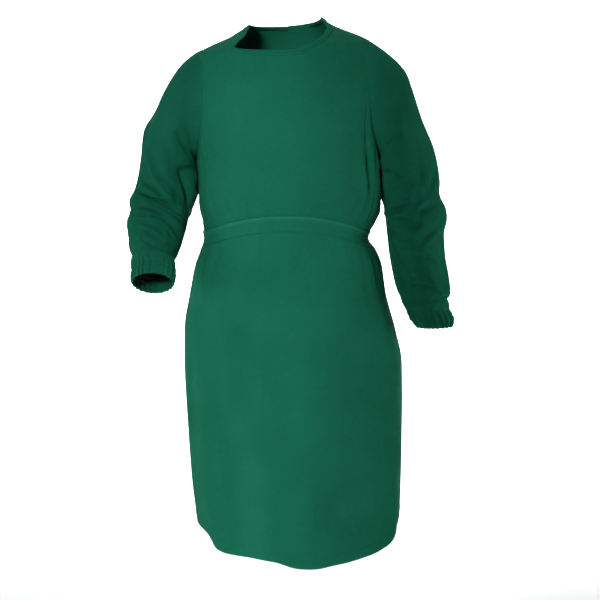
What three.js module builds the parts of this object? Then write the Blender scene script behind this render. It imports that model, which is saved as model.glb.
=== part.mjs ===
// A surgeon's gown of green woven cotton, filled out as it is worn: a hollow of cut and sewn panels.
// Millimetres. +X is the wearer's left, -Y the front, +Z up.
// The origin lies midway between the points where the two shoulder seams meet the neck.
import * as THREE from 'three';

// Cloth
const WALL = 2; // cloth wall
const SEAM_GAP = 0.3; // between two pieces that are sewn together
const TAPE = 1.6; // wall of the neck tape
const REST_GAP = 0.4; // between a tape and the panel under it

// Heights on the body
const ARMPIT = -285;
const WAIST = -462;
const SHOULDER_CLIMB = 0.821; // share of the way from armpit to neck where the armhole ends
const SHOULDER_TILT = 0.047; // the wearer's left shoulder stands higher
const TILT_FROM = -460; // the tilt grows from here up to the shoulders
const HEM = -1092;

// Armhole, belt and neck tape
const ARMHOLE_DEPTH = { front: 64, back: 70 };
const BELT_WIDTH = 34;
const BELT_RISE = 46; // the belt stands higher at the centre front than at the sides
const BELT_RISE_REACH = { up: 150, down: 170 }; // how far the cloth follows that rise
const TAPE_WIDTH = 13;
const BACK_LAP = 1 / 3; // the right back reaches this share of the half back under the left one
const LAP_FADE = 0.62; // the left back lies flush again from here on

// Mesh density
const COLUMNS = 15; // from the centre to a side seam
const ARMHOLE_STEPS = 10; // from the armpit to the shoulder, in front and behind
const SHOULDER_STEPS = 4;
const CUFF_GATHERS = 14;
const STEPS_PER_GATHER = 4;

// A short table with named columns.
function table(columns, rows) {
  const names = columns.split(' ');
  return rows.map((row) => Object.fromEntries(names.map((name, i) => [name, row[i]])));
}

// Outline of the body at each height: reach to the wearer's right and left, depth in front and behind.
const BODY = table('z right left front back square', [
  [-1165, -194, 248, 156, 152, 2.2],
  [-1092, -201, 255, 156, 153, 2.2],
  [-1000, -212, 258, 155, 155, 2.2],
  [-870, -220, 259, 152, 157, 2.2],
  [-740, -225, 257, 150, 158, 2.2],
  [-665, -224, 242, 147, 153, 2.2],
  [-580, -210, 219, 140, 138, 2.2],
  [-520, -198, 210, 131, 119, 2.2],
  [-490, -187, 198, 125, 106, 2.2],
  [-462, -177, 178, 121, 98, 2.2],
  [-425, -180, 195, 126, 104, 2.3],
  [-400, -188, 206, 129, 109, 2.4],
  [-375, -193, 208, 131, 113, 2.5],
  [-330, -193, 204, 134, 120, 2.7],
  [-285, -190, 196, 135, 124, 2.8],
  [-200, -186, 190, 132, 127, 2.8],
  [-120, -184, 187, 121, 121, 2.5],
  [-75, -183, 186, 105, 112, 2.2],
  [-50, -177, 183, 91, 105, 2],
  [-37, -146, 161, 77, 100, 2],
  [-26, -118, 135, 64, 95, 2],
  [-15, -99, 109, 52, 89, 2],
  [-5, -79, 91, 42, 82, 2],
  [8, -62, 73, 32, 72, 2],
  [16, -52, 62, 26, 64, 2],
]);

// Height of the neck edge round the neck, by angle from the centre front towards the wearer's left.
const NECK_EDGE = table('angle z', [
  [-90, -2], [-62, -9], [-50, -21], [-44, -35], [-37, -49], [-24, -54], [-10, -57], [2, -59], [9, -57],
  [17, -48], [26, -36], [40, -23], [52, -16], [60, -8], [72, 2], [90, 6], [120, 1], [150, -6], [180, -9],
  [210, -8], [245, -5], [270, -2],
]);

// How far the hem hangs below the hem line, by the same angle.
const HEM_DROP = table('angle drop', [
  [-90, 8], [-72, 20], [-57, 41], [-40, 49], [-12, 56], [6, 71], [30, 62], [56, 45], [72, 14], [90, -4],
  [135, 8], [180, 20], [225, 14], [270, 8],
]);
const HEM_REACH = 420; // the drop fades out this far above the hem line

// The largest folds: ridges stand out, troughs (negative depth) sink in.
// Their lean is in degrees per metre down.
const FOLDS = table('angle width depth top bottom lean', [
  [-52, 15, 6, -620, -1400, 4],
  [-22, 13, -4, -560, -1400, -6],
  [6, 11, 6, -640, -1400, 2],
  [36, 15, -5, -520, -1400, 4],
  [64, 12, 5, -560, -1400, 0],
  [56, 9, -7, -150, -455, 12],
  [73, 8, 4, -190, -430, 4],
  [-60, 9, -5, -190, -440, -10],
  [-30, 16, -3, -110, -300, 20],
  [118, 11, -7, -500, -1400, 4],
  [140, 13, 7, -520, -1400, -4],
  [163, 11, -6, -510, -1400, 0],
  [203, 13, 7, -500, -1400, 4],
  [226, 12, -7, -520, -1400, 2],
  [250, 11, 5, -560, -1400, -4],
  [145, 11, -6, -180, -440, -8],
  [215, 11, -6, -180, -440, 8],
]);
const FOLD_FADE = 130; // a fold rises to its full depth over this height

// Sleeve sections, from the armhole down: the outer and inner point of each in the front view,
// how far its middle lies behind the shoulder line, and half its depth.
const SLEEVE_RIGHT = table('outerX outerZ innerX innerZ middleY half', [
  [-199, -70, -194, -292, 2, 68],
  [-219, -87, -195, -300, 3, 71],
  [-237, -109, -196, -309, 5, 73],
  [-253, -134, -197, -319, 6, 74],
  [-268, -162, -197.5, -330, 7, 74],
  [-285, -193, -198, -342, 8, 73],
  [-304, -222, -198.5, -354, 9, 72],
  [-313, -256, -199, -366, 9, 71],
  [-320, -292, -200, -379, 8, 70],
  [-327, -328, -202, -392, 5, 69],
  [-336, -357, -205, -404, 1, 69],
  [-346, -377, -207, -415, -6, 70],
  [-342, -398, -208, -427, -16, 66],
  [-346, -419, -212, -441, -30, 66],
  [-339, -441, -219, -459, -48, 60],
  [-335, -464, -228, -477, -68, 56],
  [-328, -488, -234, -495, -89, 49],
  [-327, -507, -232, -511, -105, 45],
]);
const SLEEVE_LEFT = table('outerX outerZ innerX innerZ middleY half', [
  [213, -62, 201, -292, 2, 68],
  [236, -81, 203, -300, 3, 71],
  [256, -104, 205, -309, 5, 73],
  [268, -132, 207, -319, 6, 74],
  [279, -162, 208.5, -330, 7, 74],
  [291, -194, 210, -342, 8, 73],
  [306, -226, 211, -354, 9, 72],
  [323, -261, 212, -367, 9, 71],
  [336, -299, 212.5, -381, 8, 70],
  [342, -335, 213, -395, 5, 69],
  [341, -366, 214, -409, 1, 69],
  [355, -393, 216, -422, -3, 71],
  [357, -416, 218.5, -436, -7, 67],
  [350, -441, 222, -454, -11, 68],
  [352, -468, 226, -476, -15, 65],
  [354, -501, 230, -506, -19, 64],
  [359, -536, 236, -540, -23, 62],
  [360, -572, 246, -575, -27, 57],
  [356, -599, 254, -602, -30, 50],
  [357, -614, 262, -616, -32, 46],
]);

// Cuff sections in the same terms, from the sleeve's end to the open edge, with the height of the gathers.
const CUFF_RIGHT = table('outerX outerZ innerX innerZ middleY half gather', [
  [-324, -517, -231, -521, -113, 44, 1.6],
  [-326, -529, -231, -531, -122, 44, 2],
  [-321, -540, -235, -541, -131, 42, 2],
]);
const CUFF_LEFT = table('outerX outerZ innerX innerZ middleY half gather', [
  [364, -626, 267, -629, -33, 45, 1.6],
  [367, -639, 275, -642, -35, 43, 2],
  [362, -652, 287, -654, -36, 37, 2],
]);
const FIRST_GATHER = 0.8; // at the seam with the sleeve

// Ties behind the waist and the neck, hanging from their knots.
const BELT_KNOT = { wide: 52, high: 40, deep: 24, rest: 1.8, below: 4.8 };
const NECK_KNOT = { wide: 20, high: 17, deep: 12, rest: 2.6, below: 0 };
const KNOT_SQUARE = 2.6;
const BELT_ENDS = table('name x splay length', [
  ['belt_end_right', -10, -34, 250],
  ['belt_end_left', 10, 40, 220],
]);
const NECK_ENDS = table('name x splay length', [
  ['neck_tie_end_right', -4.2, -16, 130],
  ['neck_tie_end_left', 4.2, 20, 115],
]);
const END_STAND_OFF = 5; // a hanging end lies this far off the back
const END_SETTLE = 0.36; // share of its length over which it falls in from the knot and spreads
const END_GATHER = 0.55; // share of its width at the knot
const END_STEPS = 10;

const CLOTH_GREEN = 0x1c6b52;
const TAPE_GREEN = 0x175c46;
const clothFinish = new THREE.MeshStandardMaterial({ color: CLOTH_GREEN, roughness: 0.88, metalness: 0 });
const tapeFinish = new THREE.MeshStandardMaterial({ color: TAPE_GREEN, roughness: 0.85, metalness: 0 });

const { smoothstep, degToRad, lerp } = THREE.MathUtils;

// A smooth curve through one column of a table, with no overshoot between its rows.
function curve(rows, key, column) {
  const sorted = [...rows].sort((a, b) => a[key] - b[key]);
  const xs = sorted.map((row) => row[key]);
  const ys = sorted.map((row) => row[column]);
  const rise = xs.slice(1).map((x, i) => (ys[i + 1] - ys[i]) / (x - xs[i]));
  const slope = xs.map((x, i) => {
    if (i === 0 || i === xs.length - 1) return rise[Math.min(i, rise.length - 1)];
    const [before, after] = [rise[i - 1], rise[i]];
    return before * after > 0 ? (2 * before * after) / (before + after) : 0;
  });
  return (x) => {
    const at = Math.min(Math.max(x, xs[0]), xs[xs.length - 1]);
    const i = Math.min(Math.max(xs.findIndex((next) => next >= at) - 1, 0), xs.length - 2);
    const span = xs[i + 1] - xs[i];
    const t = (at - xs[i]) / span;
    const blend = t * t * (3 - 2 * t);
    return ys[i] * (1 - blend) + ys[i + 1] * blend
      + span * t * (1 - t) * ((1 - t) * slope[i] - t * slope[i + 1]);
  };
}

const bodyAt = Object.fromEntries(['right', 'left', 'front', 'back', 'square']
  .map((column) => [column, curve(BODY, 'z', column)]));
const neckEdgeAt = curve(NECK_EDGE, 'angle', 'z');
const hemDropAt = curve(HEM_DROP, 'angle', 'drop');

// A superellipse's share of its half axis.
function rounded(share, square) {
  return Math.sign(share) * Math.abs(share) ** (2 / square);
}

// How far the cloth is lifted at the front with the belt, 0 to 1.
function beltLift(level) {
  if (level > WAIST) return 1 - smoothstep(level - WAIST, BELT_WIDTH / 2, BELT_RISE_REACH.up);
  return 1 - smoothstep(WAIST - level, BELT_WIDTH / 2, BELT_RISE_REACH.down);
}

// Angles run from the centre front (0) to the wearer's left (90) and on to the centre back (180).
function plainBody(angle, level) {
  const turn = degToRad(angle);
  const [right, left, square] = [bodyAt.right(level), bodyAt.left(level), bodyAt.square(level)];
  const facing = Math.cos(turn);
  const depth = facing > 0 ? bodyAt.front(level) : bodyAt.back(level);
  const x = (left + right) / 2 + ((left - right) / 2) * rounded(Math.sin(turn), square);
  const y = -depth * rounded(facing, square);
  const rise = BELT_RISE * Math.max(facing, 0) ** 2 * beltLift(level);
  const drop = hemDropAt(angle) * (1 - smoothstep(level, HEM, HEM + HEM_REACH));
  const tilt = SHOULDER_TILT * x * smoothstep(level, TILT_FROM, 0);
  return new THREE.Vector3(x, y, level + rise - drop + tilt);
}

// Outward normal of a surface given by an angle and a level.
function normalOf(surface, angle, level) {
  const [turnStep, levelStep] = [0.4, 1];
  const round = surface(angle + turnStep, level).sub(surface(angle - turnStep, level));
  const up = surface(angle, level + levelStep).sub(surface(angle, level - levelStep));
  return round.cross(up).normalize();
}

// Height of the folds at one place.
function foldHeight(angle, level) {
  return FOLDS.reduce((sum, fold) => {
    const middle = fold.angle + (fold.lean * (fold.top - level)) / 1000;
    const off = Math.abs(angle - middle) / fold.width;
    if (off >= 1) return sum;
    const across = (1 + Math.cos(Math.PI * off)) / 2;
    const start = 1 - smoothstep(level, fold.top - FOLD_FADE, fold.top);
    const end = smoothstep(level, fold.bottom, fold.bottom + FOLD_FADE);
    return sum + fold.depth * across * start * end;
  }, 0);
}

// The outer face of the body cloth.
function body(angle, level) {
  const point = plainBody(angle, level);
  return point.addScaledVector(normalOf(plainBody, angle, level), foldHeight(angle, level));
}

// The rows of points that run across a body panel, from the hem to the neck.
function panelRows() {
  const below = [HEM, -1030, -960, -890, -820, -750, -680, -615, -560, -515,
    WAIST - BELT_WIDTH / 2, WAIST, WAIST + BELT_WIDTH / 2, -412, -378, -345, -315];
  const rows = below.map((level) => ({ level, climb: 0, bite: 0 }));
  for (let i = 0; i <= ARMHOLE_STEPS; i += 1) {
    const turn = (Math.PI * i) / ARMHOLE_STEPS;
    const bite = i % ARMHOLE_STEPS ? Math.sin(turn) : 0;
    rows.push({ climb: (SHOULDER_CLIMB * (1 - Math.cos(turn))) / 2, bite, armhole: i });
  }
  for (let i = 1; i <= SHOULDER_STEPS; i += 1) {
    rows.push({ climb: lerp(SHOULDER_CLIMB, 1, i / SHOULDER_STEPS), bite: 0 });
  }
  return rows;
}
const ROWS = panelRows();
const BELT_ROWS = ROWS.filter((row) => Math.abs(row.level - WAIST) <= BELT_WIDTH / 2);
const TAPE_ROWS = [ROWS[ROWS.length - 2], ROWS[ROWS.length - 1]];

// The level of a row at an angle: above the armpit the rows bend up to follow the neck edge.
function levelOf(row, angle) {
  return row.climb ? lerp(ARMPIT, neckEdgeAt(angle), row.climb) : row.level ?? ARMPIT;
}

// The angle at which a row ends, where the armhole bites into the panel.
function sideAngle(face, row, side) {
  const seam = face === 'front' || side > 0 ? 90 * side : 270;
  const level = levelOf(row, seam);
  const share = (ARMHOLE_DEPTH[face] * row.bite) / bodyAt[face](level);
  return THREE.MathUtils.radToDeg(Math.acos(share ** (bodyAt.square(level) / 2)));
}

// A place on the front or back: across runs from -1 at the wearer's right side to 1 at the left side.
function place(face, across, row) {
  const reach = Math.abs(across) * sideAngle(face, row, Math.sign(across) || 1);
  const fromFront = Math.sign(across) * reach;
  const angle = face === 'front' ? fromFront : 180 - fromFront;
  return { angle, level: levelOf(row, angle) };
}

// One armhole's edge, its own middle and the way the seam's wall stands there.
function armhole(side) {
  const edge = (face, row) => {
    const { angle, level } = place(face, side, row);
    return body(angle, level);
  };
  const rows = ROWS.filter((row) => row.armhole !== undefined);
  const middle = edge('front', rows[0]).add(edge('front', rows[rows.length - 1])).multiplyScalar(0.5);
  const wallWay = (point) => new THREE.Vector3(0, point.y - middle.y, point.z - middle.z).normalize();
  return { edge, rows, wallWay };
}
const ARMHOLES = { 1: armhole(1), '-1': armhole(-1) };

// A point of a body panel with the way its wall stands; a panel's edges stop half a seam gap short.
function panelPoint(face, across, row, lift = 0) {
  const { angle, level } = place(face, across, row);
  const point = body(angle, level);
  let way = normalOf(body, angle, level);
  if (Math.abs(across) === 1) {
    if (row.armhole !== undefined) {
      way = ARMHOLES[across].wallWay(point);
      point.x -= (across * SEAM_GAP) / 2;
    }
    if (row.bite === 0) point.y += (face === 'front' ? -SEAM_GAP : SEAM_GAP) / 2;
  }
  return { point: point.addScaledVector(way, lift), way };
}

// A closed wall from a grid of points with their wall ways, standing between two heights over the points.
// A tube's rows close on themselves. Each square is split along its shorter diagonal.
function wallOn(grid, low, high, isTube = false) {
  const [rows, columns] = [grid.length, grid[0].length];
  const base = grid.flat();
  const raised = (height) => base.map(({ point, way }) => point.clone().addScaledVector(way, height));
  const points = [...raised(high), ...raised(low)];
  const faces = [];
  const at = (isInner, r, c) => (isInner ? rows * columns : 0) + r * columns + (c % columns);
  const quad = (a, b, c, d) => faces.push(a, b, c, a, c, d);
  const apart = (a, b) => base[a].point.distanceTo(base[b].point);
  const across = isTube ? columns : columns - 1;
  for (let r = 0; r < rows - 1; r += 1) {
    for (let c = 0; c < across; c += 1) {
      const corners = (isInner) => [[r, c], [r, c + 1], [r + 1, c + 1], [r + 1, c]]
        .map(([row, column]) => at(isInner, row, column));
      const [a, b, d, e] = corners(false);
      const [i, j, k, l] = corners(true);
      if (apart(a, d) <= apart(b, e)) {
        quad(a, b, d, e);
        quad(k, j, i, l);
      } else {
        quad(b, d, e, a);
        quad(l, k, j, i);
      }
    }
    if (!isTube) {
      quad(at(false, r, 0), at(false, r + 1, 0), at(true, r + 1, 0), at(true, r, 0));
      quad(at(false, r, across), at(true, r, across), at(true, r + 1, across), at(false, r + 1, across));
    }
  }
  for (let c = 0; c < across; c += 1) {
    quad(at(false, 0, c), at(true, 0, c), at(true, 0, c + 1), at(false, 0, c + 1));
    const last = rows - 1;
    quad(at(false, last, c), at(false, last, c + 1), at(true, last, c + 1), at(true, last, c));
  }
  const geometry = new THREE.BufferGeometry().setFromPoints(points);
  geometry.setIndex(signedVolume(points, faces) < 0 ? faces.reverse() : faces);
  geometry.computeVertexNormals();
  return geometry;
}

function signedVolume(points, faces) {
  let sum = 0;
  for (let i = 0; i < faces.length; i += 3) {
    const [a, b, c] = [points[faces[i]], points[faces[i + 1]], points[faces[i + 2]]];
    sum += a.dot(b.clone().cross(c)) / 6;
  }
  return sum;
}

const gown = new THREE.Group();
function addPiece(name, geometry, finish = clothFinish) {
  const piece = new THREE.Mesh(geometry, finish);
  piece.name = name;
  gown.add(piece);
}

// Evenly spaced places across a panel, from one share of its half width to another.
function columnsFrom(from, to) {
  const count = Math.round((to - from) * COLUMNS);
  return Array.from({ length: count + 1 }, (_, i) => Math.round((from + i / COLUMNS) * COLUMNS) / COLUMNS);
}

// How far the left back stands out where it laps over the right one.
function lapLift(across) {
  return (WALL + REST_GAP) * (1 - smoothstep(across, BACK_LAP, LAP_FADE));
}

function addPanels() {
  const grid = (face, columns, lift = () => 0) => ROWS.map((row) => columns
    .map((across) => panelPoint(face, across, row, lift(across))));
  addPiece('front_panel', wallOn(grid('front', columnsFrom(-1, 1)), -WALL, 0));
  addPiece('back_panel_left', wallOn(grid('back', columnsFrom(0, 1), lapLift), -WALL, 0));
  addPiece('back_panel_right', wallOn(grid('back', columnsFrom(-1, BACK_LAP)), -WALL, 0));
}

// One ring of a sleeve or cuff: its middle, the way to its outer point and the way to its back.
function ringFrame(section, before, after) {
  const middleOf = ({ outerX, innerX, middleY, outerZ, innerZ }) => (
    new THREE.Vector3((outerX + innerX) / 2, middleY, (outerZ + innerZ) / 2));
  const outward = new THREE.Vector3(section.outerX - section.innerX, 0, section.outerZ - section.innerZ);
  const middle = middleOf(section);
  const along = middleOf(after).sub(middleOf(before)).normalize();
  const backward = new THREE.Vector3().crossVectors(along, outward).normalize();
  if (backward.y < 0) backward.negate();
  const square = new THREE.Vector3().crossVectors(outward, backward).normalize();
  return { middle, outward: outward.multiplyScalar(0.5), backward, square, half: section.half };
}

// A point of a ring: turn 0 is the inner point, then the front, the outer point and the back.
function ringPoint(frame, turn, swell = 0) {
  const point = frame.middle.clone()
    .addScaledVector(frame.outward, -Math.cos(turn))
    .addScaledVector(frame.backward, -frame.half * Math.sin(turn));
  const way = point.clone().sub(frame.middle).normalize();
  return { point: point.addScaledVector(way, swell), way };
}

function framesOf(sections) {
  const last = sections.length - 1;
  return sections.map((section, i) => {
    const before = sections[Math.max(i - 1, 0)];
    const after = sections[Math.min(i + 1, last)];
    return ringFrame(section, before, after);
  });
}

// The first ring of a sleeve: the armhole's edge, half a seam gap outside the panels.
function armholeRing(side) {
  const { edge, rows, wallWay } = ARMHOLES[side];
  const up = rows.map((row) => edge('front', row));
  const down = rows.slice(1, -1).reverse().map((row) => edge('back', row));
  return [...up, ...down].map((point) => {
    const way = wallWay(point);
    return { point: point.setX(point.x + (side * SEAM_GAP) / 2), way };
  });
}

// A sleeve from the armhole to the wrist, and the gathered cuff that carries on from its last ring.
function addSleeve(word, side, sections, cuffSections) {
  const frames = framesOf([...sections, ...cuffSections]);
  const last = sections.length - 1;
  const sleeveSteps = 2 * ARMHOLE_STEPS;
  const rings = frames.slice(0, last + 1).map((frame) => Array.from({ length: sleeveSteps }, (_, i) => (
    ringPoint(frame, (2 * Math.PI * i) / sleeveSteps))));
  addPiece(`sleeve_${word}`, wallOn([armholeRing(side), ...rings], -WALL, 0, true));

  const cuffSteps = CUFF_GATHERS * STEPS_PER_GATHER;
  const { square, middle } = frames[last];
  const onward = Math.sign(frames[last + 1].middle.clone().sub(middle).dot(square));
  const cuffRings = frames.slice(last).map((frame, k) => Array.from({ length: cuffSteps }, (_, i) => {
    const turn = (2 * Math.PI * i) / cuffSteps;
    const gather = k ? cuffSections[k - 1].gather : FIRST_GATHER;
    const made = ringPoint(frame, turn, gather * Math.cos(CUFF_GATHERS * turn));
    made.point.addScaledVector(square, k ? 0 : onward * SEAM_GAP);
    return made;
  }));
  addPiece(`cuff_${word}`, wallOn(cuffRings, -WALL, 0, true));
}

// The bias tape round the neck, from the centre back over both shoulders and along the front.
function addNeckBinding() {
  const left = columnsFrom(0, 1).slice(0, -1).map((across) => ['back', across]);
  const front = columnsFrom(-1, 1).reverse().map((across) => ['front', across]);
  const right = columnsFrom(-1, 0).slice(1, -1).map((across) => ['back', across]);
  const grid = TAPE_ROWS.map((row) => [...left, ...front, ...right].map(([face, across]) => {
    const { angle, level } = place(face, across, row);
    const lift = face === 'back' && across >= 0 ? lapLift(across) : 0;
    const way = normalOf(body, angle, level);
    return { point: body(angle, level).addScaledVector(way, lift), way };
  }));
  addPiece('neck_binding', wallOn(grid, REST_GAP, REST_GAP + TAPE), tapeFinish);
}

// The belt: a band sewn across the front, and a tie round each side to the knot behind.
function addBelt() {
  const strip = (face, columns, lift = () => 0) => BELT_ROWS.map((row) => columns
    .map((across) => panelPoint(face, across, row, lift(across))));
  const [low, high] = [REST_GAP, REST_GAP + WALL];
  const knotEdge = 1 / COLUMNS;
  addPiece('belt_front', wallOn(strip('front', columnsFrom(-1, 1)), low, high));
  addPiece('belt_tie_left', wallOn(strip('back', columnsFrom(knotEdge, 1), lapLift), low, high));
  addPiece('belt_tie_right', wallOn(strip('back', columnsFrom(-1, -knotEdge)), low, high));
}

// A rounded knot, a little squarer than an egg, standing on the back at one level.
function knot(size, level) {
  const geometry = new THREE.SphereGeometry(0.5, 16, 10);
  const positions = geometry.attributes.position;
  const outward = normalOf(body, 180, level);
  const sideways = new THREE.Vector3(-1, 0, 0);
  const upward = new THREE.Vector3().crossVectors(outward, sideways).normalize();
  const middle = body(180, level).addScaledVector(outward, lapLift(0) + size.rest + size.deep / 2);
  for (let i = 0; i < positions.count; i += 1) {
    const [x, y, z] = [positions.getX(i), positions.getY(i), positions.getZ(i)]
      .map((share) => rounded(2 * share, KNOT_SQUARE) / 2);
    const point = middle.clone()
      .addScaledVector(sideways, x * size.wide)
      .addScaledVector(upward, y * size.high)
      .addScaledVector(outward, z * size.deep);
    positions.setXYZ(i, point.x, point.y, point.z);
  }
  return geometry;
}

// The angle at which the back reaches a given distance to the wearer's left.
function backAngle(x, level) {
  const [right, left, square] = [bodyAt.right(level), bodyAt.left(level), bodyAt.square(level)];
  const share = (2 * x - left - right) / (left - right);
  return 180 - THREE.MathUtils.radToDeg(Math.asin(rounded(share, 4 / square)));
}

// A flat end of tape that hangs down the back from under a knot.
function hangingEnd(end, level, width, size) {
  const knotX = body(180, level).x;
  const steepness = Math.sqrt(1 - normalOf(body, 180, level).z ** 2);
  const top = level - (size.high / 2 + size.below) * steepness;
  const grid = Array.from({ length: END_STEPS + 1 }, (_, i) => {
    const share = i / END_STEPS;
    const settled = smoothstep(share, 0, END_SETTLE);
    const standOff = lapLift(0) + lerp(size.rest + size.deep / 2, END_STAND_OFF, settled);
    return [-1, 0, 1].map((half) => {
      const x = knotX + end.x + end.splay * share + (half * width * lerp(END_GATHER, 1, settled)) / 2;
      const at = [backAngle(x, top - end.length * share), top - end.length * share];
      const way = normalOf(body, ...at);
      return { point: body(...at).addScaledVector(way, standOff), way };
    });
  });
  return wallOn(grid, -TAPE / 2, TAPE / 2);
}

function addTies() {
  addPiece('belt_knot', knot(BELT_KNOT, WAIST));
  BELT_ENDS.forEach((end) => {
    addPiece(end.name, hangingEnd(end, WAIST, BELT_WIDTH, BELT_KNOT));
  });
  const neckLevel = neckEdgeAt(180) - TAPE_WIDTH;
  addPiece('neck_tie_knot', knot(NECK_KNOT, neckLevel), tapeFinish);
  NECK_ENDS.forEach((end) => {
    addPiece(end.name, hangingEnd(end, neckLevel, TAPE_WIDTH, NECK_KNOT), tapeFinish);
  });
}

addPanels();
addSleeve('right', -1, SLEEVE_RIGHT, CUFF_RIGHT);
addSleeve('left', 1, SLEEVE_LEFT, CUFF_LEFT);
addNeckBinding();
addBelt();
addTies();

export default gown;
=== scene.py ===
import math
import bpy
import numpy as np
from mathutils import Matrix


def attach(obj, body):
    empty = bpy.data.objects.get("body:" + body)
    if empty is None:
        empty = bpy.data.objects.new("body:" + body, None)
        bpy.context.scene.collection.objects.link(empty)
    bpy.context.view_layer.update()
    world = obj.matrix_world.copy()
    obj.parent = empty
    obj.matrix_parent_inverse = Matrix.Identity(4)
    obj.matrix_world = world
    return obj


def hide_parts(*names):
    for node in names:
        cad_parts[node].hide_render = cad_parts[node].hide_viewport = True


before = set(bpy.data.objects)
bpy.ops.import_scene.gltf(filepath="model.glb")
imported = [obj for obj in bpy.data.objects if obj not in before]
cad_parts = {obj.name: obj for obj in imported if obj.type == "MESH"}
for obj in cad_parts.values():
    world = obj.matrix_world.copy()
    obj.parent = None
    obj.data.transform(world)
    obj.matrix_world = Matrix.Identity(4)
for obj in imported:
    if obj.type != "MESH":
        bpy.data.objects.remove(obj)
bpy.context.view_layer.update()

mm = 0.001
print("frame loaded:", len(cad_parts), "nodes")

# sizes in mm; angles run from the centre front (0) to the wearer's left (90) and the back (180)
form = dict(
    armpit=-285, waist=-462, hem=-1092, shoulderClimb=0.821, tilt=0.047, tiltFrom=-460,
    armhole=dict(front=64, back=70), beltWidth=34, beltRise=46, riseUp=150, riseDown=170,
    hemReach=420, lap=1 / 3, lapFade=0.62, lapLift=2.4, foldFade=130,
    # height, reach right and left, depth in front and behind, squareness
    body=[(-1165, -194, 248, 156, 152, 2.2), (-1092, -201, 255, 156, 153, 2.2),
          (-1000, -212, 258, 155, 155, 2.2), (-870, -220, 259, 152, 157, 2.2),
          (-740, -225, 257, 150, 158, 2.2), (-665, -224, 242, 147, 153, 2.2),
          (-580, -210, 219, 140, 138, 2.2), (-520, -198, 210, 131, 119, 2.2),
          (-490, -187, 198, 125, 106, 2.2), (-462, -177, 178, 121, 98, 2.2),
          (-425, -180, 195, 126, 104, 2.3), (-400, -188, 206, 129, 109, 2.4),
          (-375, -193, 208, 131, 113, 2.5), (-330, -193, 204, 134, 120, 2.7),
          (-285, -190, 196, 135, 124, 2.8), (-200, -186, 190, 132, 127, 2.8),
          (-120, -184, 187, 121, 121, 2.5), (-75, -183, 186, 105, 112, 2.2),
          (-56, -190, 187, 95, 107, 2), (-50, -177, 183, 91, 105, 2), (-37, -146, 161, 77, 100, 2),
          (-26, -118, 135, 64, 95, 2), (-15, -99, 109, 52, 89, 2), (-5, -79, 91, 42, 82, 2),
          (8, -62, 73, 32, 72, 2), (16, -52, 62, 26, 64, 2)],
    # angle, height
    neckEdge=[(-90, -2), (-62, -9), (-50, -21), (-44, -35), (-37, -49), (-24, -54), (-10, -57),
              (2, -59), (9, -57), (17, -48), (26, -36), (40, -23), (52, -16), (60, -8), (72, 2),
              (90, 6), (120, 1), (150, -6), (180, -9), (210, -8), (245, -5), (270, -2)],
    # angle, drop
    hemDrop=[(-90, 8), (-74, 9), (-66, 11), (-57, 17), (-53, 28), (-49, 41), (-42, 48), (-12, 56),
             (1, 71), (30, 61), (56, 45), (72, 14), (90, -4), (135, 8), (180, 20), (225, 14), (270, 8)],
    # angle, width, depth, top, bottom, lean in degrees per metre
    folds=[(-52, 15, 6, -620, -1400, 4), (-22, 13, -4, -560, -1400, -6), (6, 11, 6, -640, -1400, 2),
           (36, 15, -5, -520, -1400, 4), (64, 12, 5, -560, -1400, 0), (56, 9, -7, -150, -455, 12),
           (73, 8, 4, -190, -430, 4), (-60, 9, -5, -190, -440, -10), (-30, 16, -3, -110, -300, 20),
           (118, 11, -7, -500, -1400, 4), (140, 13, 7, -520, -1400, -4), (163, 11, -6, -510, -1400, 0),
           (203, 13, 7, -500, -1400, 4), (226, 12, -7, -520, -1400, 2), (250, 11, 5, -560, -1400, -4),
           (145, 11, -6, -180, -440, -8), (215, 11, -6, -180, -440, 8)],
)


def smooth(x, low, high):
    t = np.clip((x - low) / (high - low), 0, 1)
    return t * t * (3 - 2 * t)


def join(*grids):
    return np.concatenate(grids)


def curve(xs, ys):  # smooth through the rows, no overshoot
    order = np.argsort(xs)
    xs, ys = np.asarray(xs, float)[order], np.asarray(ys, float)[order]
    rise = np.diff(ys) / np.diff(xs)
    slope = join(rise[:1], np.zeros(len(xs) - 2), rise[-1:])
    for i in range(1, len(xs) - 1):
        before, after = rise[i - 1], rise[i]
        slope[i] = 2 * before * after / (before + after) if before * after > 0 else 0

    def at(x):
        x = np.clip(x, xs[0], xs[-1])
        i = np.clip(np.searchsorted(xs, x) - 1, 0, len(xs) - 2)
        span = xs[i + 1] - xs[i]
        t = (x - xs[i]) / span
        blend = smooth(t, 0, 1)
        bend = span * t * (1 - t) * ((1 - t) * slope[i] - t * slope[i + 1])
        return ys[i] * (1 - blend) + ys[i + 1] * blend + bend
    return at


bodyRows = np.array(form["body"], float).T
rightAt, leftAt, frontAt, backAt, squareAt = (curve(bodyRows[0], column) for column in bodyRows[1:])
neckEdgeAt = curve(*np.array(form["neckEdge"], float).T)
hemDropAt = curve(*np.array(form["hemDrop"], float).T)


def unit(v):
    return v / np.maximum(np.linalg.norm(v, axis=-1, keepdims=True), 1e-9)


def rounded(share, square):
    return np.sign(share) * np.abs(share) ** (2 / square)


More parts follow.
